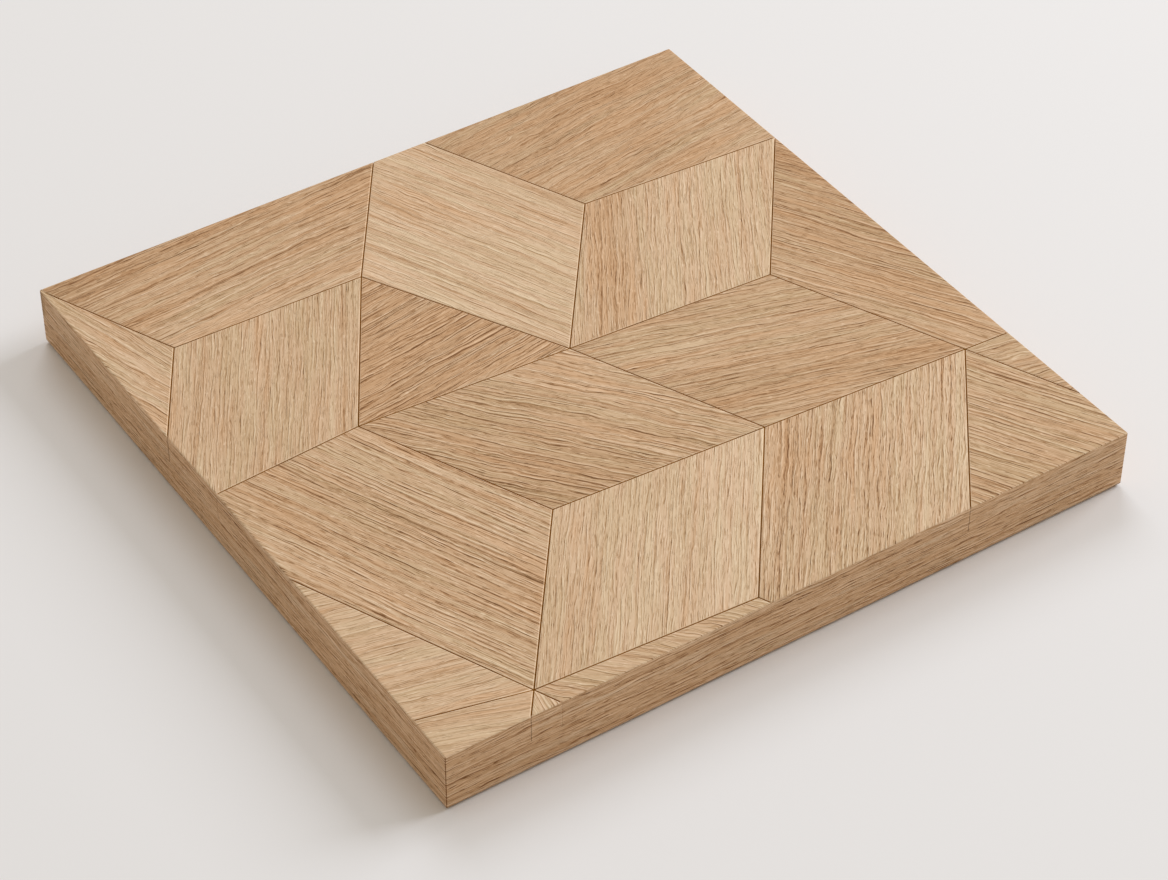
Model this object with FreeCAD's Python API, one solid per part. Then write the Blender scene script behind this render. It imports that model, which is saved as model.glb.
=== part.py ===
import FreeCAD, Part
import math
import os

# Driving dimensions, in millimetres and degrees
block_side = 250.0       # square block, across its trimmed edges
base_thickness = 12.0    # solid board that carries the pattern
face_thickness = 10.0    # pattern pieces glued on top of the base board
corner_seam = 55.0       # seam from the left corner to the first meeting point of the pattern
seam_angle = 65.7        # angle of that seam to the front edge
front_margin = 4.0       # gap from the seam's line of meeting points to the front edge
pattern_turn = -3.5      # turn of the pattern's rows away from the front edge
joint_width = 0.2        # open line left between two neighbouring pieces
joint_bevel = 0.3        # fine bevel along both sides of every joint
edge_round = 0.6         # eased round on all outer edges of the block

half_side = block_side / 2.0
block_height = base_thickness + face_thickness
cutter_run_out = face_thickness

# The pattern is set out from the left corner. From the end of the corner seam,
# three steps along a row reach the right edge, and three steps along the line
# of the seam end at the front margin. The slant is the third direction, which
# closes a rhombus with the other two.
row_heading = math.radians(pattern_turn)
seam_heading = math.radians(-seam_angle)
row_reach = block_side - corner_seam * math.cos(seam_heading)
row_length = row_reach / math.cos(row_heading) / 3.0
seam_reach = (block_side - front_margin) / math.sin(-seam_heading) - corner_seam
seam_length = seam_reach / 3.0


def heading_vector(heading, length):
    return FreeCAD.Vector(length * math.cos(heading), length * math.sin(heading), 0.0)


row_step = heading_vector(row_heading, row_length)
slant_step = heading_vector(seam_heading, seam_length) - row_step
left_corner = FreeCAD.Vector(-half_side, half_side, 0.0)
first_node = left_corner + heading_vector(seam_heading, corner_seam)


def pattern_node(rows, slants):
    """Meeting point of the pattern, counted in steps from the first one."""
    return first_node + row_step * rows + slant_step * slants


# The pieces along the left and back edges were fitted by hand, so four points
# there lie a little off the regular steps. The first one is on the face, and
# the others lie past the edge and only set the direction of a seam.
fitted_node = (0.88, -0.04)
fitted_back = (0.82, -1.1)
fitted_left = (0.14, 1.14)
fitted_front = (0.1, 2.63)

# Corners of each piece as steps along the rows and along the slant, listed
# clockwise or the other way round. A piece at the rim is laid out past the
# edge of the block and trimmed with it.
piece_corners = {
    "back_corner_tile": [(2, 0), (5, 0), (5, -3), (-1, -3)],
    "back_rhombus_tile": [fitted_node, (2, 1), (2, 0), (1, -1), fitted_back],
    "back_left_tile": [(0, 0), fitted_node, fitted_back, (-1, -3), (-2, -2)],
    "back_right_rhombus_tile": [(2, 0), (3, 0), (3, 1), (2, 1)],
    "right_edge_tile": [(3, 1), (4, 2), (6, 2), (6, 0), (3, 0)],
    "right_edge_wedge": [(4, 2), (6, 4), (6, 2)],
    "right_corner_tile": [(4, 2), (4, 4), (5, 5), (6, 4)],
    "centre_right_rhombus_tile": [(2, 1), (3, 1), (4, 2), (3, 2)],
    "centre_rhombus_tile": [(1, 1), (2, 1), (3, 2), (2, 2)],
    "centre_triangle_tile": [fitted_node, (2, 1), (1, 1)],
    "left_corner_wedge": [(0, 0), (-2, -2), (-2, 1), fitted_left],
    "left_rhombus_tile": [(0, 0), fitted_node, (1, 1), fitted_left],
    "left_edge_tile": [(1, 1), (2, 2), (2, 3), fitted_left],
    "left_edge_wedge": [(2, 3), fitted_left, fitted_front],
    "front_corner_tile": [(2, 3), fitted_front, (2, 5)],
    "front_edge_wedge": [(2, 3), (2, 5), (4, 5)],
    "front_edge_tile": [(2, 3), (3, 3), (5, 5), (4, 5)],
    "front_rhombus_tile": [(2, 2), (3, 2), (3, 3), (2, 3)],
    "front_right_rhombus_tile": [(3, 2), (4, 2), (4, 4), (3, 3)],
}


def polygon_prism(points, direction):
    outline = Part.makePolygon(points + [points[0]])
    return Part.Face(outline).extrude(direction)


def block_body():
    """The whole block after trimming square and easing its edges."""
    corner = FreeCAD.Vector(-half_side, -half_side, 0.0)
    body = Part.makeBox(block_side, block_side, block_height, corner)
    return body.makeFillet(edge_round, body.Edges)


def layer(bottom, thickness):
    corner = FreeCAD.Vector(-half_side, -half_side, bottom)
    return Part.makeBox(block_side, block_side, thickness, corner)


def joint_cutter(start, end, middle):
    """Run half a joint and its bevel along one side of a piece."""
    along = (end - start).normalize()
    inward = FreeCAD.Vector(-along.y, along.x, 0.0)
    if inward.dot(middle - start) < 0.0:
        inward = inward * -1.0
    half_joint = joint_width / 2.0
    profile = [
        (-cutter_run_out, base_thickness - cutter_run_out),
        (half_joint, base_thickness - cutter_run_out),
        (half_joint, block_height - joint_bevel),
        (half_joint + joint_bevel + cutter_run_out, block_height + cutter_run_out),
        (-cutter_run_out, block_height + cutter_run_out),
    ]
    origin = start - along * cutter_run_out
    points = [origin + inward * across + FreeCAD.Vector(0.0, 0.0, height) for across, height in profile]
    run = along * ((end - start).Length + 2.0 * cutter_run_out)
    return polygon_prism(points, run)


def pattern_piece(corners, face_layer):
    nodes = [pattern_node(rows, slants) for rows, slants in corners]
    middle = sum(nodes, FreeCAD.Vector()) / len(nodes)
    raised = [point + FreeCAD.Vector(0.0, 0.0, base_thickness) for point in nodes]
    piece = polygon_prism(raised, FreeCAD.Vector(0.0, 0.0, face_thickness)).common(face_layer)
    for start, end in zip(nodes, nodes[1:] + nodes[:1]):
        piece = piece.cut(joint_cutter(start, end, middle))
    return piece


os.makedirs("parts", exist_ok=True)
body = block_body()
base_board = body.common(layer(0.0, base_thickness))
base_board.Solids[0].exportStep("parts/base_board.step")

face_layer = body.common(layer(base_thickness, face_thickness))
for name, corners in piece_corners.items():
    piece = pattern_piece(corners, face_layer)
    if piece.Solids:
        piece.Solids[0].exportStep("parts/" + name + ".step")
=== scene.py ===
# %% [markdown]
# # A parquet block in oak
# The real object is a square block of solid oak. Nineteen pieces with eased edges
# are glued on a thick base board and trimmed flush at the rim. The CAD frame
# already holds every piece at its true size, so this script gives each one its
# soft edges, its grain and its tone, and sets up the light and the camera.

import math

import bmesh
import bpy
import numpy as np
from mathutils import Matrix, Vector


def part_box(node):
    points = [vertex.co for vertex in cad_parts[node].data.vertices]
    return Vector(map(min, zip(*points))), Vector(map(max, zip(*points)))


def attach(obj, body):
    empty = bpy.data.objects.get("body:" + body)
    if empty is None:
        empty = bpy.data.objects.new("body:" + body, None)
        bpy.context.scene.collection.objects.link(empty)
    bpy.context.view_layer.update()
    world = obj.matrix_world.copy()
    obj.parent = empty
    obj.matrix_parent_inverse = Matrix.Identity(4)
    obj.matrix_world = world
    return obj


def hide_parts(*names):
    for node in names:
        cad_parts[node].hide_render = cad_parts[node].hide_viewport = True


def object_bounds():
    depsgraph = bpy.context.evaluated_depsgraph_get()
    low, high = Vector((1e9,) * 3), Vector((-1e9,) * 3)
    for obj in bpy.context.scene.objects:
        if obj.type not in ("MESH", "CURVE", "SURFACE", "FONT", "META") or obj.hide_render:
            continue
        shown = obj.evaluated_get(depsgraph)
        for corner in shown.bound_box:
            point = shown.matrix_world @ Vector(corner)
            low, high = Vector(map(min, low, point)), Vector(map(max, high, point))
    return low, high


MM = 0.001
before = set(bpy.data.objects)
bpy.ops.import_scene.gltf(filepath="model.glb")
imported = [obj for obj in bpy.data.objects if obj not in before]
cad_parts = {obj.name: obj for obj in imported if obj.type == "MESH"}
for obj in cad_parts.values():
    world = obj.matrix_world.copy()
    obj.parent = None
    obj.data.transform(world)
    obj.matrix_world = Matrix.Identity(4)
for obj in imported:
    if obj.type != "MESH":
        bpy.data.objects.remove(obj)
cad_box = [list(corner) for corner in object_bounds()]
print("pieces in the frame:", len(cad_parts), "box:", cad_box)

# %% [markdown]
# ## Camera
# The block was photographed from in front and above with a long lens. The camera
# could be placed by eye. Here its heading, height and roll are written down as
# angles, and its axes are worked out from them, so that each value can be read.

# %% Camera
BLOCK_SIDE = cad_box[1][0] - cad_box[0][0]
HEADING, HEIGHT, ROLL = (math.radians(angle) for angle in (-33.89, 41.32, 0.29))
ASIDE, ABOVE, AWAY = 0.0172, -0.0363, 4.3106  # place of the camera, in block sides
LENS, SENSOR = 102.97, 36.0  # mm

level_back = Vector((math.sin(HEADING), -math.cos(HEADING), 0.0))
back = level_back * math.cos(HEIGHT) + Vector((0.0, 0.0, math.sin(HEIGHT)))
level_right = Vector((math.cos(HEADING), math.sin(HEADING), 0.0))
level_up = back.cross(level_right)
right = level_right * math.cos(ROLL) + level_up * math.sin(ROLL)
up = level_up * math.cos(ROLL) - level_right * math.sin(ROLL)
place = (right * ASIDE + up * ABOVE + back * AWAY) * BLOCK_SIDE

camera = bpy.data.objects.new("camera", bpy.data.cameras.new("camera"))
camera.matrix_world = Matrix.Translation(place) @ Matrix((right, up, back)).transposed().to_4x4()
camera.data.sensor_width = SENSOR
camera.data.lens = LENS
bpy.context.scene.collection.objects.link(camera)
bpy.context.scene.camera = camera
bpy.context.scene.view_settings.view_transform = "Standard"
print("camera at", tuple(round(value, 3) for value in place), "lens", LENS, "mm")

# %% [markdown]
# ## Floor and light
# The block lies on a pale, warm white table. The room gives about half of the
# light and is warm. Two large soft lamps, cooler than the room, give the rest. One
# is low on the right and one is higher behind, so the left and front sides fall into
# shade and the shadow fades out within a few centimetres. Near lamps would light
# the table unevenly, so these are three and eight metres away.

# %% Floor
def node_material(name):
    material = bpy.data.materials.new(name)
    material.use_nodes = True
    return material, material.node_tree, material.node_tree.nodes["Principled BSDF"]


FLOOR_REACH = 6.0  # metres
FLOOR_COLOUR = (0.80, 0.785, 0.78, 1.0)
FLOOR_ROUGHNESS = 0.9
FLOOR_SHINE = 0.1
floor_finish, _, floor_shader = node_material("pale_table")
floor_shader.inputs["Base Color"].default_value = FLOOR_COLOUR
floor_shader.inputs["Roughness"].default_value = FLOOR_ROUGHNESS
floor_shader.inputs["Specular IOR Level"].default_value = FLOOR_SHINE
floor_corners = [(x * FLOOR_REACH, y * FLOOR_REACH, 0.0) for x, y in ((-1, -1), (1, -1), (1, 1), (-1, 1))]
floor_mesh = bpy.data.meshes.new("table_top")
floor_mesh.from_pydata(floor_corners, [], [(0, 1, 2, 3)])
floor_mesh.materials.append(floor_finish)
table_top = bpy.data.objects.new("table_top", floor_mesh)
bpy.context.scene.collection.objects.link(table_top)
print("table top:", 2 * FLOOR_REACH, "m wide")

# %% Light
LAMP_SPREAD = 0.52  # size of a lamp as a share of its distance
LAMP_COLOUR = (0.86, 0.91, 1.0)
RIGHT_PLACE, RIGHT_WATTS = (2.62, -0.18, 1.7), 65.0  # metres from the middle of the block
BACK_PLACE, BACK_WATTS = (2.25, 4.95, 5.4), 194.0
ROOM_COLOUR = (1.0, 0.92, 0.79, 1.0)
ROOM_STRENGTH = 0.52
world = bpy.data.worlds.new("room")
world.use_nodes = True
room = world.node_tree.nodes["Background"]
room.inputs["Color"].default_value = ROOM_COLOUR
room.inputs["Strength"].default_value = ROOM_STRENGTH
bpy.context.scene.world = world


def soft_lamp(name, lamp_place, watts):
    lamp_data = bpy.data.lights.new(name, "AREA")
    lamp_data.size = LAMP_SPREAD * Vector(lamp_place).length
    lamp_data.energy = watts
    lamp_data.color = LAMP_COLOUR
    lamp = bpy.data.objects.new(name, lamp_data)
    turn = Vector(lamp_place).to_track_quat("Z", "Y").to_matrix().to_4x4()
    lamp.matrix_world = Matrix.Translation(lamp_place) @ turn
    bpy.context.scene.collection.objects.link(lamp)
    print(name, watts, "W at", lamp_place)


soft_lamp("right_lamp", RIGHT_PLACE, RIGHT_WATTS)
soft_lamp("back_lamp", BACK_PLACE, BACK_WATTS)

# %% [markdown]
# ## The rule of the grain
# Oak is ring-porous. Each year starts with a band of open pores, which a saw cut
# shows as short dark dashes between long fine lines, and ends in smooth wood. The
# rings are shells around the pith, so a cut shows them as long lines or as arches.
# The same rule is needed twice, for the colour and for the relief. Math and noise
# nodes exist in both kinds of node tree, so one function writes it into either.

# %% Node helpers
def put(tree, kind, inputs=(), **settings):
    made = tree.nodes.new(kind)
    for name, value in settings.items():
        setattr(made, name, value)
    for socket, value in inputs:
        if isinstance(value, bpy.types.NodeSocket):
            tree.links.new(value, made.inputs[socket])
        else:
            made.inputs[socket].default_value = value
    return made


def calc(tree, operation, first, second=0.0, third=0.0):
    made = put(tree, "ShaderNodeMath", ((0, first), (1, second), (2, third)), operation=operation)
    return made.outputs[0]


def ease(tree, value, low, high):
    made = put(tree, "ShaderNodeMapRange", (("Value", value), ("From Min", low), ("From Max", high)))
    made.interpolation_type = "SMOOTHSTEP"
    return made.outputs["Result"]


def choose(tree, switch, off, on):
    return put(tree, "ShaderNodeMix", ((0, switch), (2, off), (3, on)), data_type="FLOAT").outputs[0]


print("node helpers:", put.__name__, calc.__name__, ease.__name__, choose.__name__)


# %% Streaks along the grain
def streak(tree, along, across, seed, length, width, detail=1.0):
    """Noise drawn out along the grain, about 0 to 1 with a mean of a half."""
    x = calc(tree, "DIVIDE", along, length)
    y = calc(tree, "DIVIDE", across, width)
    cell = put(tree, "ShaderNodeCombineXYZ", (("X", x), ("Y", y), ("Z", seed)))
    settings = (("Vector", cell.outputs[0]), ("Scale", 1.0), ("Detail", detail))
    return put(tree, "ShaderNodeTexNoise", settings).outputs[0]


print("streaks are drawn by", streak.__name__)

# %% Fine lines
UNEVEN_LENGTH, UNEVEN_WIDTH = 2.5, 3.0  # in lengths and pitches of the lines
UNEVEN_SHIFT = 2.4  # pitches by which a line can stray
LINE_SAMPLE = 0.37  # each line reads the noise off the whole numbers, where it is weak
SHOWN_FROM, SHOWN_FULL = 0.38, 0.62  # noise between which a line comes into view
STRIP_HALF = 0.26  # pitches
# The pale strip beside each line is painted highlight: it stands in for light catching the edge of the line.
DARK_MIDDLE, HIGHLIGHT_MIDDLE = 0.4, 0.75  # pitches
HIGHLIGHT_SHARE = -0.55  # strength of the painted highlight, a pale strip beside a line


def fine_lines(tree, along, across, seed, pitch, length):
    """Thin lines along the grain that fade in and out: 1 on a line, below 0 on a strip of painted highlight
    beside it, which the bump also raises a little.
    """
    uneven_length = calc(tree, "MULTIPLY", length, UNEVEN_LENGTH)
    uneven_width = calc(tree, "MULTIPLY", pitch, UNEVEN_WIDTH)
    uneven = streak(tree, along, across, seed, uneven_length, uneven_width)
    count = calc(tree, "MULTIPLY_ADD", uneven, UNEVEN_SHIFT, calc(tree, "DIVIDE", across, pitch))
    number = calc(tree, "ADD", calc(tree, "FLOOR", count), LINE_SAMPLE)
    shown = ease(tree, streak(tree, along, number, seed, length, 1.0), SHOWN_FROM, SHOWN_FULL)

    def strip(middle):
        away = calc(tree, "ABSOLUTE", calc(tree, "SUBTRACT", calc(tree, "FRACT", count), middle))
        return ease(tree, away, STRIP_HALF, 0.0)

    # Painted highlight: the strip beside the dark line is made paler in the colour.
    line_and_highlight = calc(tree, "MULTIPLY_ADD", strip(HIGHLIGHT_MIDDLE), HIGHLIGHT_SHARE, strip(DARK_MIDDLE))
    return calc(tree, "MULTIPLY", shown, line_and_highlight)


print("a fine line is", 2 * STRIP_HALF, "pitches wide")

# %% Years
GRAIN_INPUTS = {
    "Ring Pitch": 3.2,
    "Pith Across": 150.0,
    "Pith Depth": 30.0,
    "Pith Tilt": 0.0,
    "Wave": 1.0,
    "Line Pitch": 1.5,
    "Line Length": 24.0,
    "Seed": 0.0,
}
YEAR_SEED = 4.1
YEAR_RUN, YEAR_SHIFT = 2.3, 2.2  # years over which the width of the rings changes, and by how many
PORES_FULL = 0.12  # share of a year after which its porous part is full
PORES_FADE, PORES_END = 0.15, 0.8  # shares of a year between which it fades out
LEAST_VIGOUR = 0.2


def year_bands(tree, along, across, given):
    """Porous part of each year's ring, stronger in some years than in others."""
    depth = calc(tree, "MULTIPLY_ADD", along, given["Pith Tilt"], given["Pith Depth"])
    aside = calc(tree, "SUBTRACT", across, given["Pith Across"])
    squares = calc(tree, "MULTIPLY_ADD", aside, aside, calc(tree, "MULTIPLY", depth, depth))
    years = calc(tree, "DIVIDE", calc(tree, "SQRT", squares), given["Ring Pitch"])
    uneven = streak(tree, 0.0, years, calc(tree, "ADD", given["Seed"], YEAR_SEED), 1.0, YEAR_RUN)
    years = calc(tree, "MULTIPLY_ADD", uneven, YEAR_SHIFT, years)
    season = calc(tree, "FRACT", years)
    number = (("W", calc(tree, "FLOOR", years)),)
    vigour = put(tree, "ShaderNodeTexWhiteNoise", number, noise_dimensions="1D").outputs["Value"]
    late = ease(tree, season, PORES_END, PORES_FADE)
    early = calc(tree, "MULTIPLY", ease(tree, season, 0.0, PORES_FULL), late)
    return calc(tree, "MULTIPLY", early, calc(tree, "MULTIPLY_ADD", vigour, 1 - LEAST_VIGOUR, LEAST_VIGOUR))


print("rings are", GRAIN_INPUTS["Ring Pitch"], "mm apart unless a piece says otherwise")

# %% The rule
STREAKS = {  # step of the seed, length and width in mm, levels of detail
    "sway": (0.0, 70.0, 24.0, 1.0),
    "ripple": (1.7, 9.0, 3.2, 1.0),
    "pore": (7.3, 3.8, 0.30, 1.0),
    "fibre": (9.9, 12.0, 0.60, 2.0),
    "strand": (11.5, 46.0, 2.3, 2.0),
    "fleck": (12.1, 2.2, 0.45, 0.0),
    "drift": (15.3, 80.0, 17.0, 2.0),
    "warm": (18.9, 42.0, 9.0, 2.0),
}
LINE_SEED, HAIR_SEED = 25.1, 21.7
HAIR_PITCH, HAIR_LENGTH = 0.45, 1 / 3  # as a share of the pitch and length of the lines
SWAY_REACH, RIPPLE_REACH = 4.0, 1.6  # mm from side to side
BAND_PORES = 0.08  # how much easier a pore opens in a porous band
PORE_FROM, PORE_FULL = 0.60, 0.72
FLECK_FROM, FLECK_FULL = 0.64, 0.82


def grain_rule(tree, along, across, given):
    """What the cut shows at a point in mm: bands, pores, fine lines, fibres, flecks and slow drift."""

    def seed(step):
        return calc(tree, "ADD", given["Seed"], step)

    def noise(name, sideways):
        step, length, width, detail = STREAKS[name]
        return streak(tree, along, sideways, seed(step), length, width, detail)

    sway = calc(tree, "SUBTRACT", noise("sway", across), 0.5)
    ripple = calc(tree, "SUBTRACT", noise("ripple", across), 0.5)
    shift = calc(tree, "MULTIPLY_ADD", sway, SWAY_REACH, calc(tree, "MULTIPLY", ripple, RIPPLE_REACH))
    bent = calc(tree, "MULTIPLY_ADD", given["Wave"], shift, across)
    band = year_bands(tree, along, bent, given)
    pore = calc(tree, "MULTIPLY_ADD", band, BAND_PORES, noise("pore", bent))
    hair_pitch = calc(tree, "MULTIPLY", given["Line Pitch"], HAIR_PITCH)
    hair_length = calc(tree, "MULTIPLY", given["Line Length"], HAIR_LENGTH)
    return {
        "bent": bent,
        "band": band,
        "pore": ease(tree, pore, PORE_FROM, PORE_FULL),
        "line": fine_lines(tree, along, bent, seed(LINE_SEED), given["Line Pitch"], given["Line Length"]),
        "hair": fine_lines(tree, along, bent, seed(HAIR_SEED), hair_pitch, hair_length),
        "fibre": noise("fibre", bent),
        "strand": noise("strand", bent),
        "fleck": ease(tree, noise("fleck", bent), FLECK_FROM, FLECK_FULL),
        "drift": noise("drift", across),
        "warm": noise("warm", across),
    }


print("rule of the grain:", len(GRAIN_INPUTS), "inputs and", len(STREAKS), "kinds of streak")

# %% [markdown]
# ## Oiled oak
# Matte oil leaves the wood its own colour: straw where it is smooth, honey in
# the bands, dark brown in the open pores, with olive and reddish patches between.
# The face of a piece shows its own grain, turned as the piece was cut. The rim was
# trimmed in one pass, so the lines there run along the edge from piece to piece.
# A node group mixes all this, so that every piece takes it with its own values.

# %% Oak group: where a point lies
def new_group(name, kind, inputs, outputs):
    tree = bpy.data.node_groups.new(name, kind)
    for socket, (socket_kind, value) in inputs.items():
        made = tree.interface.new_socket(socket, in_out="INPUT", socket_type=socket_kind)
        if value is not None:
            made.default_value = value
    for socket, socket_kind in outputs.items():
        tree.interface.new_socket(socket, in_out="OUTPUT", socket_type=socket_kind)
    return tree, tree.nodes.new("NodeGroupInput").outputs, tree.nodes.new("NodeGroupOutput").inputs


FLOAT, VECTOR, COLOR = "NodeSocketFloat", "NodeSocketVector", "NodeSocketColor"
FIGURE_INPUTS = {
    "Tone": 0.5,
    "Warmth": 0.0,
    "Band": 0.2,
    "Pores": 0.3,
    "Lines": 0.35,
    "Hairs": 0.3,
    "Fibres": 0.4,
    "Strands": 0.35,
    "Slope": 0.0,
    "Heart": 0.0,
    "Heart Across": 0.0,
    "Heart Width": 12.0,
}
oak_inputs = {"Face": (VECTOR, None), "Object": (VECTOR, None), "Normal": (VECTOR, None)}
oak_inputs.update({name: (FLOAT, value) for name, value in {**GRAIN_INPUTS, **FIGURE_INPUTS}.items()})
oak_outputs = {"Color": COLOR, "Roughness": FLOAT, "Height": FLOAT}
oak, given, result = new_group("oiled_oak", "ShaderNodeTree", oak_inputs, oak_outputs)
print("oak group:", len(oak_inputs), "inputs and", len(oak_outputs), "outputs")

# %% Oak group: edges, joints and rim
HALF_MM = BLOCK_SIDE / MM / 2
TOP_MM = cad_box[1][2] / MM
RIM_DEPTH = 0.7  # mm that count as the rim, measured in from the side of the block
STAIN_STARTS, STAIN_FULL = 0.08, 0.30  # mm below the face, where glue and dirt colour a joint
CORNER_SHADE_REACH = 0.3  # mm on both sides of an upright corner, where a dark line of painted shade runs
SIDE_BELOW, TILTED_BELOW, EASED_BELOW = 0.45, 0.93, 0.97  # upright part of a normal, 1 on the flat face
RIM_ARRIS_HIGHLIGHT = 0.25  # painted highlight on an edge along the rim, as a share of the one in a joint
normal = put(oak, "ShaderNodeSeparateXYZ", ((0, given["Normal"]),)).outputs
spot = put(oak, "ShaderNodeSeparateXYZ", ((0, given["Object"]),)).outputs
face = put(oak, "ShaderNodeSeparateXYZ", ((0, given["Face"]),)).outputs
upright = calc(oak, "ABSOLUTE", normal[2])
from_middle = [calc(oak, "ABSOLUTE", spot[axis]) for axis in (0, 1)]
is_side = calc(oak, "LESS_THAN", upright, SIDE_BELOW)
faces_x = calc(oak, "GREATER_THAN", calc(oak, "ABSOLUTE", normal[0]), calc(oak, "ABSOLUTE", normal[1]))
is_inside = calc(oak, "LESS_THAN", calc(oak, "MAXIMUM", *from_middle), HALF_MM - RIM_DEPTH)
is_tilted = calc(oak, "LESS_THAN", upright, TILTED_BELOW)
stain = ease(oak, calc(oak, "SUBTRACT", TOP_MM, spot[2]), STAIN_STARTS, STAIN_FULL)
in_joint = calc(oak, "MULTIPLY", calc(oak, "MULTIPLY", is_tilted, is_inside), stain)
# Painted shade: a dark line down each upright corner of the block.
corner_shade = calc(oak, "GREATER_THAN", calc(oak, "MINIMUM", *from_middle), HALF_MM - CORNER_SHADE_REACH)
is_eased = calc(oak, "LESS_THAN", upright, EASED_BELOW)
is_round = calc(oak, "MULTIPLY", is_eased, calc(oak, "SUBTRACT", 1.0, is_side))
# Painted highlight: the rounded edges are made paler, standing in for the light they catch, fully in the
# joints and a quarter as much along the rim.
arris_highlight_share = calc(oak, "MULTIPLY_ADD", is_inside, 1 - RIM_ARRIS_HIGHLIGHT, RIM_ARRIS_HIGHLIGHT)
arris_highlight = calc(oak, "MULTIPLY", is_round, arris_highlight_share)
print("rim of the block:", HALF_MM - RIM_DEPTH, "to", HALF_MM, "mm from its middle")

# %% Oak group: grain and figure
RIM_VALUES = {
    "Ring Pitch": 2.4,
    "Pith Across": 60.0,
    "Pith Depth": 12.0,
    "Pith Tilt": 0.02,
    "Wave": 0.6,
    "Line Pitch": 1.3,
    "Line Length": 12.0,
    "Seed": 5.0,
    "Warmth": 0.3,
    "Band": 0.16,
    "Pores": 0.40,
    "Lines": 0.40,
    "Hairs": 0.38,
    "Fibres": 0.6,
    "Strands": 0.5,
    "Slope": 0.0,
    "Heart": 0.0,
}
RIM_TONE, RIM_TONE_SHARE = 0.20, 0.4  # the rim's own tone, and how much of the piece's tone it keeps
HEART_WANDER = 14.0  # mm by which the edge of a heart stripe can wander
own = {name: choose(oak, is_side, given[name], value) for name, value in RIM_VALUES.items()}
rim_tone = calc(oak, "MULTIPLY_ADD", given["Tone"], RIM_TONE_SHARE, RIM_TONE)
own["Tone"] = choose(oak, is_side, given["Tone"], rim_tone)
along = choose(oak, is_side, face[0], choose(oak, faces_x, spot[0], spot[1]))
across = choose(oak, is_side, face[1], spot[2])
grain = grain_rule(oak, along, across, own)


def swing(name):
    return calc(oak, "SUBTRACT", grain[name], 0.5)


beside = calc(oak, "ABSOLUTE", calc(oak, "SUBTRACT", grain["bent"], given["Heart Across"]))
beside = calc(oak, "MULTIPLY_ADD", swing("drift"), HEART_WANDER, beside)
heart = calc(oak, "MULTIPLY", ease(oak, beside, given["Heart Width"], 0.0), own["Heart"])
print("side walls have", len(RIM_VALUES), "values of their own")

# %% Oak group: tone
SLOPE_RUN = 20.0  # mm across the grain over which the tone changes by the value of Slope
DRIFT_TONE = 0.15
FLECK_TONE = -0.22
# Painted highlight on the rounded edges.
ARRIS_HIGHLIGHT_TONE = -0.42
# Painted shade down each upright corner.
CORNER_SHADE_TONE = 0.6
share = own["Tone"]
for what, amount in (
    (grain["band"], own["Band"]),
    (grain["pore"], own["Pores"]),
    (grain["line"], own["Lines"]),
    (grain["hair"], own["Hairs"]),
    (swing("fibre"), own["Fibres"]),
    (swing("strand"), own["Strands"]),
    (swing("drift"), DRIFT_TONE),
    (grain["fleck"], FLECK_TONE),
    (arris_highlight, ARRIS_HIGHLIGHT_TONE),
    (corner_shade, CORNER_SHADE_TONE),
    (calc(oak, "DIVIDE", across, SLOPE_RUN), own["Slope"]),
    (heart, 1.0),
):
    share = calc(oak, "MULTIPLY_ADD", what, amount, share)
print("the tone of a point adds up", len(oak.nodes), "nodes so far")

# %% Oak group: colours
TONES = {
    0.0: (0.80, 0.60, 0.42),
    0.25: (0.69, 0.485, 0.315),
    0.5: (0.56, 0.36, 0.205),
    0.8: (0.395, 0.217, 0.102),
    1.0: (0.20, 0.092, 0.035),
}
TINTS = {0.3: (0.965, 0.995, 0.97), 0.55: (1.0, 1.0, 1.0), 0.8: (1.025, 0.972, 0.92)}  # olive to red
GLUE_LINE = (0.36, 0.15, 0.006, 1.0)


def colour_ramp(tree, value, stops):
    ramp = put(tree, "ShaderNodeValToRGB", ((0, value),))
    elements = ramp.color_ramp.elements
    while len(elements) < len(stops):
        elements.new(0.5)
    for element, (position, colour) in zip(elements, sorted(stops.items())):
        element.position = position
        element.color = (*colour, 1.0)
    return ramp.outputs["Color"]


def blend(tree, amount, first, second, kind="MIX"):
    inputs = ((0, amount), (6, first), (7, second))
    return put(tree, "ShaderNodeMix", inputs, data_type="RGBA", blend_type=kind).outputs[2]


print("colours of the oak:", len(TONES), "tones and", len(TINTS), "tints")

# %% Oak group: results
HEART_WARMTH = 1.6
WOOD_ROUGH, PORE_ROUGH, FIBRE_ROUGH = 0.56, 0.2, 0.12
HAIR_DEPTH = 0.5  # as a share of the depth of a line or a pore
warmth = calc(oak, "ADD", own["Warmth"], calc(oak, "ADD", swing("strand"), grain["warm"]))
warmth = calc(oak, "MULTIPLY_ADD", heart, HEART_WARMTH, warmth)
wood = blend(oak, 1.0, colour_ramp(oak, share, TONES), colour_ramp(oak, warmth, TINTS), "MULTIPLY")
oak.links.new(blend(oak, in_joint, wood, GLUE_LINE), result["Color"])
rough = calc(oak, "MULTIPLY_ADD", grain["pore"], PORE_ROUGH, WOOD_ROUGH)
oak.links.new(calc(oak, "MULTIPLY_ADD", grain["fibre"], FIBRE_ROUGH, rough), result["Roughness"])
sunk = calc(oak, "ADD", grain["line"], grain["pore"])
sunk = calc(oak, "MULTIPLY_ADD", grain["hair"], HAIR_DEPTH, sunk)
oak.links.new(calc(oak, "MULTIPLY", sunk, -1.0), result["Height"])
print("oak group:", len(oak.nodes), "nodes")

# %% Oak finish of one piece
BUMP_DEPTH = 0.1 * MM
BUMP_STRENGTH = 0.8
OIL_SHINE = 0.12


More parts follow.
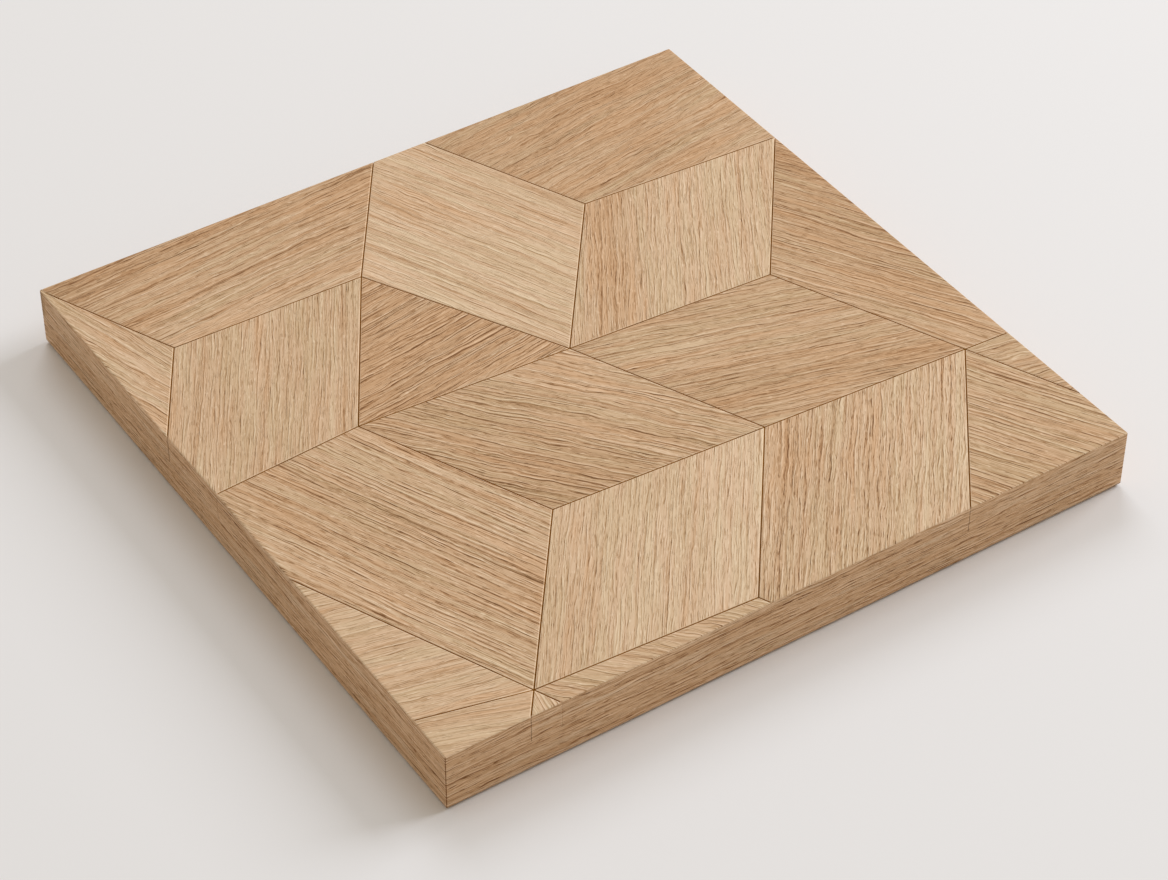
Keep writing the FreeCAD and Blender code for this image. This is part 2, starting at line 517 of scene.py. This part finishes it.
def oak_finish(name, centre, heading, values):
    """Oiled oak with the grain turned to a heading about a centre, in mm on the face."""
    material, tree, shader = node_material(name)
    on_object = put(tree, "ShaderNodeTexCoord").outputs["Object"]
    shape = put(tree, "ShaderNodeNewGeometry").outputs["True Normal"]
    in_mm = (("Vector", on_object), ("Scale", (1 / MM,) * 3))
    whole = put(tree, "ShaderNodeMapping", in_mm)
    turn = Matrix.Rotation(math.radians(-heading), 3, "Z")
    turned = put(tree, "ShaderNodeMapping", in_mm)
    turned.inputs["Rotation"].default_value = (0.0, 0.0, math.radians(-heading))
    turned.inputs["Location"].default_value = -(turn @ Vector((centre[0], centre[1], 0.0)))
    inputs = (("Face", turned.outputs[0]), ("Object", whole.outputs[0]), ("Normal", shape))
    wood = put(tree, "ShaderNodeGroup", node_tree=oak)
    for socket, value in inputs:
        tree.links.new(value, wood.inputs[socket])
    for socket, value in values.items():
        wood.inputs[socket].default_value = value
    bump = (("Strength", BUMP_STRENGTH), ("Distance", BUMP_DEPTH), ("Height", wood.outputs["Height"]))
    tree.links.new(put(tree, "ShaderNodeBump", bump).outputs[0], shader.inputs["Normal"])
    tree.links.new(wood.outputs["Color"], shader.inputs["Base Color"])
    tree.links.new(wood.outputs["Roughness"], shader.inputs["Roughness"])
    shader.inputs["Specular IOR Level"].default_value = OIL_SHINE
    return material


print("a finish can set", len(GRAIN_INPUTS) + len(FIGURE_INPUTS), "values of the oak")

# %% [markdown]
# ## How each piece was cut
# Every piece comes from another board, so each has a heading for its grain, a
# tone from 0 (straw) to 1 (brown), and rings that lie close or wide. Some show a
# reddish heart stripe. The headings are degrees from the front edge. A picture
# could carry this, but a short list of values is easier to change.

# %% Cut list
CUTS = {
    "back_corner_tile": (8, {
        "Tone": 0.49, "Warmth": 0.12, "Band": 0.10, "Pores": 0.20, "Ring Pitch": 4.5, "Wave": 1.4,
        "Lines": 0.18, "Slope": 0.03,
    }),
    "back_rhombus_tile": (-66, {
        "Tone": 0.27, "Band": 0.14, "Pores": 0.12, "Ring Pitch": 5.0, "Lines": 0.22, "Strands": 0.6,
        "Slope": 0.03,
    }),
    "back_left_tile": (4, {
        "Tone": 0.50, "Warmth": 0.12, "Band": 0.20, "Pores": 0.22, "Ring Pitch": 4.2, "Lines": 0.28,
        "Strands": 0.55, "Slope": 0.07,
    }),
    "back_right_rhombus_tile": (-123, {
        "Tone": 0.27, "Warmth": -0.08, "Band": 0.10, "Pores": 0.20, "Ring Pitch": 3.6, "Wave": 0.6,
        "Line Length": 14.0, "Lines": 0.22, "Hairs": 0.36, "Strands": 0.25,
        "Heart": 0.14, "Heart Across": -22.0, "Heart Width": 20.0,
    }),
    "right_edge_tile": (-59, {
        "Tone": 0.46, "Warmth": 0.12, "Band": 0.16, "Pores": 0.28, "Ring Pitch": 3.2, "Lines": 0.34,
        "Slope": 0.04,
    }),
    "right_edge_wedge": (-12, {
        "Tone": 0.38, "Band": 0.14, "Pores": 0.26, "Ring Pitch": 3.0, "Wave": 1.6, "Lines": 0.30,
    }),
    "right_corner_tile": (-60, {
        "Tone": 0.39, "Band": 0.22, "Pores": 0.30, "Ring Pitch": 3.4, "Wave": 0.7, "Lines": 0.42,
        "Strands": 0.25,
    }),
    "centre_right_rhombus_tile": (-15, {
        "Tone": 0.41, "Band": 0.14, "Pores": 0.26, "Ring Pitch": 3.2, "Lines": 0.30,
        "Heart": 0.10, "Heart Across": -16.0,
    }),
    "centre_rhombus_tile": (-51, {
        "Tone": 0.42, "Band": 0.18, "Pores": 0.34, "Ring Pitch": 3.0, "Wave": 1.3, "Lines": 0.42,
        "Slope": -0.06,
    }),
    "centre_triangle_tile": (8, {
        "Tone": 0.46, "Warmth": 0.25, "Band": 0.16, "Pores": 0.32, "Ring Pitch": 2.8, "Line Pitch": 1.2,
        "Lines": 0.5, "Strands": 0.25, "Heart": 0.03, "Heart Width": 40.0,
    }),
    "left_corner_wedge": (-75, {
        "Tone": 0.33, "Band": 0.16, "Pores": 0.22, "Ring Pitch": 3.4, "Lines": 0.28, "Slope": 0.06,
    }),
    "left_rhombus_tile": (-121, {
        "Tone": 0.34, "Band": 0.10, "Pores": 0.22, "Ring Pitch": 3.0, "Wave": 0.55, "Line Pitch": 1.25,
        "Line Length": 15.0, "Lines": 0.26,
    }),
    "left_edge_tile": (-66, {
        "Tone": 0.36, "Band": 0.20, "Pores": 0.30, "Ring Pitch": 3.4, "Wave": 0.6, "Lines": 0.42,
        "Heart": 0.07, "Heart Width": 24.0,
    }),
    "left_edge_wedge": (-13, {
        "Tone": 0.32, "Band": 0.12, "Pores": 0.18, "Ring Pitch": 3.8, "Lines": 0.22,
    }),
    "front_corner_tile": (-20, {
        "Tone": 0.35, "Band": 0.08, "Pores": 0.10, "Ring Pitch": 3.6, "Lines": 0.14, "Hairs": 0.24,
    }),
    "front_edge_wedge": (-100, {
        "Tone": 0.26, "Band": 0.18, "Pores": 0.22, "Ring Pitch": 2.8, "Wave": 0.8,
    }),
    "front_edge_tile": (-48, {
        "Tone": 0.38, "Band": 0.14, "Pores": 0.22, "Ring Pitch": 3.2, "Wave": 1.8, "Lines": 0.26,
    }),
    "front_rhombus_tile": (-127, {
        "Tone": 0.23, "Warmth": -0.1, "Band": 0.10, "Pores": 0.22, "Ring Pitch": 3.0, "Wave": 0.5,
        "Line Length": 14.0, "Lines": 0.23, "Hairs": 0.36, "Slope": -0.036,
    }),
    "front_right_rhombus_tile": (-129, {
        "Tone": 0.33, "Band": 0.16, "Pores": 0.32, "Ring Pitch": 3.0, "Wave": 0.6, "Lines": 0.33,
        "Line Length": 13.0, "Hairs": 0.40, "Slope": -0.05,
    }),
}
print("cut list:", len(CUTS), "pieces")

# %% [markdown]
# ## A piece with eased edges
# A parquet piece is sawn, glued and then sanded, so its joints and its rim keep a
# fine round. A Bevel modifier could round a plain prism. Here the face also needs
# rows of points that run with the grain, for the relief, so the mesh is laid row
# by row, and rings of points step down over the edge.

# %% Outline of a piece
HALF = BLOCK_SIDE / 2
SAME = 1e-6  # metres, below which two places count as one
STRAIGHT = 10 * SAME * SAME  # square metres, below which a corner counts as straight
DECIMALS = 7  # of a place in metres


def half_hull(ordered):
    """One side of the outline around points that come in order."""
    hull = []
    for point in ordered:
        while len(hull) > 1:
            (ax, ay), (bx, by) = hull[-2:]
            if (bx - ax) * (point[1] - ay) - (by - ay) * (point[0] - ax) > STRAIGHT:
                break
            hull.pop()
        hull.append(point)
    return hull[:-1]


def outline_of(node, at_top=False):
    """Corners of a node's underside or top in the frame, in order, with its lowest and highest level."""
    low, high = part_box(node)
    level = high.z if at_top else low.z
    places = [vertex.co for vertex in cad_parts[node].data.vertices]
    corners = [place for place in places if abs(place.z - level) < SAME]
    points = sorted({(round(corner.x, DECIMALS), round(corner.y, DECIMALS)) for corner in corners})
    return np.array(half_hull(points) + half_hull(points[::-1])), low.z, high.z


print("corners of the front rhombus:", len(outline_of("front_rhombus_tile")[0]))


# %% Insets of an outline
def inward_normals(outline):
    sides = np.roll(outline, -1, axis=0) - outline
    return np.stack([-sides[:, 1], sides[:, 0]], axis=1) / np.linalg.norm(sides, axis=1)[:, None]


def inset(outline, distances):
    """Moves every side of a convex outline inwards by its own distance."""
    inward = inward_normals(outline)
    moved = []
    for i, corner in enumerate(outline):
        shift = np.linalg.solve(inward[[i - 1, i]], [distances[i - 1], distances[i]])
        moved.append(corner + shift)
    return np.array(moved)


def depth_inside(outline, points):
    """Distance of each point from the nearest side of a convex outline."""
    return ((points[:, None] - outline) * inward_normals(outline)).sum(axis=2).min(axis=1)


rhombus = outline_of("front_rhombus_tile")[0]
print("middle of the front rhombus lies", depth_inside(rhombus, rhombus.mean(axis=0)[None])[0] / MM, "mm in")

# %% Rows of points along the grain
ROW_GAP = 0.25 * MM
COLUMN_GAP = 2.5 * MM


def row_ends(u, v, level):
    """Where a straight row at one level enters and leaves an outline."""
    cuts = []
    for u0, u1, v0, v1 in zip(np.roll(u, 1), u, np.roll(v, 1), v):
        if abs(v1 - v0) < SAME and abs(level - v0) < SAME:
            cuts += [u0, u1]
        elif min(v0, v1) - SAME < level < max(v0, v1) + SAME:
            cuts.append(u0 + (u1 - u0) * np.clip((level - v0) / (v1 - v0), 0, 1))
    return min(cuts), max(cuts)


def grain_rows(outline, heading):
    """Rows of points across a convex outline, each row straight along the grain."""
    angle = math.radians(heading)
    along = np.array([math.cos(angle), math.sin(angle)])
    across = np.array([-math.sin(angle), math.cos(angle)])
    u, v = outline @ along, outline @ across
    levels = np.linspace(v.min(), v.max(), round(np.ptp(v) / ROW_GAP))
    levels = np.sort(np.concatenate([levels, v]))
    levels = levels[np.concatenate([[True], np.diff(levels) > SAME])]
    columns = round(np.ptp(u) / COLUMN_GAP)
    rows = []
    for level in levels:
        steps = np.linspace(*row_ends(u, v, level), columns + 1)
        rows.append(steps[:, None] * along + level * across)
    return np.array(rows)


rows = grain_rows(rhombus, CUTS["front_rhombus_tile"][0])
print("front rhombus:", rows.shape[0], "rows of", rows.shape[1], "points")

# %% Steps over the edge
EDGE_ROUND = 0.5 * MM
ROUND_TURNS = np.radians([90, 75, 50, 25, 0])  # from the flat face to the upright side
GLUE_FILL = 0.095 * MM  # glue closes a joint this far from each side, right below the round
GLUE_DEPTH = 1.0 * MM  # below this depth the joint stands open again and shows on the rim
DEEP_FILL = 0.05 * MM  # glue left on each side down there
FOOT_BEVEL = 0.05 * MM
HOLD = 0.15 * MM  # a ring this close to an edge keeps it crisp


def edge_steps(outline, low, high):
    """Inset of every side and level, step by step from the flat face down to the underside."""
    middles = (outline + np.roll(outline, -1, axis=0)) / 2
    is_joint = np.abs(middles).max(axis=1) < HALF - EDGE_ROUND
    steps = []
    for turn in ROUND_TURNS:
        distance = EDGE_ROUND * (1 - np.cos(turn))
        drop = EDGE_ROUND * (1 - np.sin(turn))
        steps.append((np.full(len(outline), distance), high - drop))
    steps.append((is_joint * -GLUE_FILL, high - EDGE_ROUND - GLUE_FILL))
    steps.append((is_joint * -GLUE_FILL, high - GLUE_DEPTH))
    steps.append((is_joint * -DEEP_FILL, high - GLUE_DEPTH - HOLD))
    steps.append((is_joint * -DEEP_FILL, low + FOOT_BEVEL + HOLD))
    steps.append((is_joint * -DEEP_FILL, low + FOOT_BEVEL))
    steps.append((is_joint * -DEEP_FILL + FOOT_BEVEL, low))
    return steps


print("steps over an edge:", len(edge_steps(*outline_of("front_rhombus_tile"))))


# %% Mesh of a piece
def rim_places(outline, points):
    """The side of an outline on which each point lies, and its share along that side."""
    sides = np.roll(outline, -1, axis=0) - outline
    shares = ((points[:, None] - outline) * sides).sum(axis=2) / (sides**2).sum(axis=1)
    shares = np.clip(shares, 0, 1)
    misses = np.linalg.norm(outline + shares[..., None] * sides - points[:, None], axis=2)
    side = misses.argmin(axis=1)
    return side, shares[np.arange(len(points)), side][:, None]


def piece_shell(outline, steps, rows):
    """Points and faces of a closed shell: rows on the face, rings over the edge, a fan below."""
    grid = rows.reshape(-1, 2)
    number = np.arange(len(grid)).reshape(rows.shape[:2])
    squares = [number[:-1, :-1], number[:-1, 1:], number[1:, 1:], number[1:, :-1]]
    faces = np.stack(squares, axis=2).reshape(-1, 4).tolist()
    last = np.concatenate([number[0, :-1], number[:-1, -1], number[-1, :0:-1], number[:0:-1, 0]])
    side, share = rim_places(inset(outline, steps[0][0]), grid[last])
    flat = [grid]
    levels = [np.full(len(grid), steps[0][1])]
    for distances, level in steps[1:]:
        corners = inset(outline, distances)
        ring = np.arange(len(last)) + sum(len(made) for made in flat)
        flat.append(corners[side] * (1 - share) + np.roll(corners, -1, axis=0)[side] * share)
        levels.append(np.full(len(last), level))
        faces += np.stack([np.roll(ring, 1), ring, last, np.roll(last, 1)], axis=1).tolist()
        last = ring
    middle = np.full(len(last), sum(len(made) for made in flat))
    faces += np.stack([last, np.roll(last, 1), middle], axis=1).tolist()
    flat.append(outline.mean(axis=0)[None])
    levels.append(np.full(1, steps[-1][1]))
    return np.column_stack([np.vstack(flat), np.concatenate(levels)]), faces


shell = piece_shell(rhombus, edge_steps(*outline_of("front_rhombus_tile")), rows)
print("front rhombus:", len(shell[0]), "points", len(shell[1]), "faces")

# %% Clean mesh of a piece
MERGE = 0.003 * MM
RELIEF_FADE = 0.8 * MM  # the relief starts this far in from the round


def merge_points(mesh):
    """Joins points that lie in one place and drops the faces that this leaves empty."""
    work = bmesh.new()
    work.from_mesh(mesh)
    bmesh.ops.remove_doubles(work, verts=work.verts, dist=MERGE)
    bmesh.ops.dissolve_degenerate(work, edges=work.edges, dist=MERGE)
    work.to_mesh(mesh)
    work.free()


def piece_mesh(node, heading):
    """Mesh of a piece without points in one place, with the share of relief that each point takes."""
    outline, low, high = outline_of(node)
    steps = edge_steps(outline, low, high)
    flat = inset(outline, steps[0][0])
    rows = grain_rows(flat, heading)
    points, faces = piece_shell(outline, steps, rows)
    depths = depth_inside(flat, rows.reshape(-1, 2))
    on_face = np.zeros(len(points))
    on_face[: len(depths)] = np.clip(depths / RELIEF_FADE, 0, 1)
    mesh = bpy.data.meshes.new(node)
    mesh.from_pydata(points, [], faces)
    mesh.attributes.new("on_face", "FLOAT", "POINT").data.foreach_set("value", on_face)
    merge_points(mesh)
    return mesh, outline.mean(axis=0) / MM


trial, _ = piece_mesh("front_rhombus_tile", CUTS["front_rhombus_tile"][0])
print("front rhombus, merged:", len(trial.vertices), "points", len(trial.polygons), "faces")
bpy.data.meshes.remove(trial)

# %% [markdown]
# ## Relief of the grain
# Sanding and oil leave the porous bands a few hundredths of a millimetre lower
# than the smooth wood. A bump in the finish only shades that. A Geometry Nodes
# tree moves the rows of points instead, with the same rule and the same values as
# the colour, so a dark band is also a low one.

# %% Relief tree
RELIEF = 0.05  # mm
relief_inputs = {"Geometry": ("NodeSocketGeometry", None), "Finish": ("NodeSocketMaterial", None)}
relief_inputs.update({name: (FLOAT, 0.0) for name in ("Heading", "Centre X", "Centre Y", "Relief")})
relief_inputs.update({name: (FLOAT, value) for name, value in GRAIN_INPUTS.items()})
relief_outputs = {"Geometry": "NodeSocketGeometry"}
relief, given, result = new_group("grain_relief", "GeometryNodeTree", relief_inputs, relief_outputs)
position = put(relief, "GeometryNodeInputPosition").outputs[0]
spot = put(relief, "ShaderNodeSeparateXYZ", ((0, position),)).outputs
from_x = calc(relief, "SUBTRACT", calc(relief, "DIVIDE", spot[0], MM), given["Centre X"])
from_y = calc(relief, "SUBTRACT", calc(relief, "DIVIDE", spot[1], MM), given["Centre Y"])
turn = calc(relief, "RADIANS", given["Heading"])
cosine = calc(relief, "COSINE", turn)
sine = calc(relief, "SINE", turn)
along = calc(relief, "MULTIPLY_ADD", from_x, cosine, calc(relief, "MULTIPLY", from_y, sine))
aside = calc(relief, "MULTIPLY", from_x, sine)
across = calc(relief, "SUBTRACT", calc(relief, "MULTIPLY", from_y, cosine), aside)
grain = grain_rule(relief, along, across, given)
print("relief tree:", len(relief.nodes), "nodes for the rule")

# %% Relief tree: lower the points
PORE_SHARE, BAND_SHARE, LINE_SHARE = 0.5, 0.25, 0.25
sunk = calc(relief, "MULTIPLY", grain["band"], BAND_SHARE)
sunk = calc(relief, "MULTIPLY_ADD", grain["pore"], PORE_SHARE, sunk)
sunk = calc(relief, "MULTIPLY_ADD", calc(relief, "MAXIMUM", grain["line"], 0.0), LINE_SHARE, sunk)
attribute = put(relief, "GeometryNodeInputNamedAttribute", (("Name", "on_face"),), data_type="FLOAT")
sunk = calc(relief, "MULTIPLY", sunk, attribute.outputs[0])
drop = calc(relief, "MULTIPLY", sunk, calc(relief, "MULTIPLY", given["Relief"], -MM))
move = put(relief, "ShaderNodeCombineXYZ", (("Z", drop),)).outputs[0]
moved = put(relief, "GeometryNodeSetPosition", (("Geometry", given["Geometry"]), ("Offset", move)))
real = put(relief, "GeometryNodeRealizeInstances", ((0, moved.outputs[0]),)).outputs[0]
finished = put(relief, "GeometryNodeSetMaterial", (("Geometry", real), ("Material", given["Finish"])))
relief.links.new(finished.outputs[0], result["Geometry"])
RELIEF_KEYS = {item.name: item.identifier for item in relief.interface.items_tree if item.in_out == "INPUT"}
print("relief tree:", len(relief.nodes), "nodes,", RELIEF, "mm deep")


# %% Apply the relief
def with_relief(piece, settings):
    """Runs the relief tree on a piece once and keeps the result as its plain mesh."""
    modifier = piece.modifiers.new("grain_relief", "NODES")
    modifier.node_group = relief
    for name, value in settings.items():
        modifier[RELIEF_KEYS[name]] = value
    blank = piece.data
    evaluated = piece.evaluated_get(bpy.context.evaluated_depsgraph_get())
    mesh = bpy.data.meshes.new_from_object(evaluated)
    piece.modifiers.clear()
    piece.data = mesh
    bpy.data.meshes.remove(blank)
    mesh.attributes.remove(mesh.attributes["on_face"])
    mesh.polygons.foreach_set("use_smooth", [True] * len(mesh.polygons))
    return sum(len(polygon.vertices) - 2 for polygon in mesh.polygons)


print("the relief is applied by", with_relief.__name__)

# %% Make every piece
FIRST_SEED, SEED_STEP = 20.0, 3.7
total = 0
for number, (node, (heading, cut)) in enumerate(CUTS.items()):
    blank, centre = piece_mesh(node, heading)
    values = {**GRAIN_INPUTS, "Seed": FIRST_SEED + SEED_STEP * number, **cut}
    settings = {name: values[name] for name in GRAIN_INPUTS}
    settings.update({"Heading": float(heading), "Centre X": centre[0], "Centre Y": centre[1]})
    settings["Relief"] = RELIEF
    settings["Finish"] = oak_finish(node + "_oak", centre, heading, values)
    piece = bpy.data.objects.new(node + "_wood", blank)
    bpy.context.scene.collection.objects.link(piece)
    total += with_relief(piece, settings)
    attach(piece, "root")
    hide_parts(node)
print("pieces made:", len(CUTS), "triangles:", total)

# %% [markdown]
# ## Base board
# The board under the pattern only shows its edges, with the same lines along them
# as the pieces above. Its lower edge looks rounder than the others, which leaves a
# dark line where the block meets the table. The CAD node could stay in view, but its
# lower edge is sharper. Here rings of points follow its outline down the side and
# round the lower edge, and a fan of triangles closes them above and below.

# %% Mesh of the base board
FOOT_ROUND = 1.8 * MM


def board_shell(outline, low, high):
    """Points and faces of a closed slab whose lower edge is round."""
    steps = [(0.0, high), (0.0, high - HOLD), (0.0, low + FOOT_ROUND + HOLD)]
    for turn in ROUND_TURNS[::-1]:
        steps.append((FOOT_ROUND * (1 - math.cos(turn)), low + FOOT_ROUND * (1 - math.sin(turn))))
    rings = [np.clip(outline, distance - HALF, HALF - distance) for distance, _ in steps]
    points = [np.column_stack([ring, np.full(len(ring), level)]) for ring, (_, level) in zip(rings, steps)]
    points.append([(0.0, 0.0, high), (0.0, 0.0, low)])
    number = np.arange(len(steps) * len(outline)).reshape(len(steps), -1)
    after = np.roll(number, -1, axis=1)
    walls = np.stack([number[1:], after[1:], after[:-1], number[:-1]], axis=2).reshape(-1, 4)
    above = np.full(len(outline), number.size)
    top = np.stack([number[0], after[0], above], axis=1)
    foot = np.stack([after[-1], number[-1], above + 1], axis=1)
    return np.vstack(points), [*walls.tolist(), *top.tolist(), *foot.tolist()]


board_points, board_faces = board_shell(*outline_of("base_board", at_top=True))
print("base board:", len(board_points), "points", len(board_faces), "faces")

# %% Base board
base_values = {**GRAIN_INPUTS, "Seed": 3.0, "Tone": 0.42, "Band": 0.3, "Pores": 0.35, "Ring Pitch": 4.0}
board_mesh = bpy.data.meshes.new("base_board")
board_mesh.from_pydata(board_points, [], board_faces)
merge_points(board_mesh)
board_mesh.polygons.foreach_set("use_smooth", [True] * len(board_mesh.polygons))
board_mesh.materials.append(oak_finish("base_board_oak", (0.0, 0.0), 0.0, base_values))
board = bpy.data.objects.new("base_board_wood", board_mesh)
bpy.context.scene.collection.objects.link(board)
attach(board, "root")
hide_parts("base_board")
print("base board, merged:", len(board_mesh.vertices), "points", len(board_mesh.polygons), "faces")
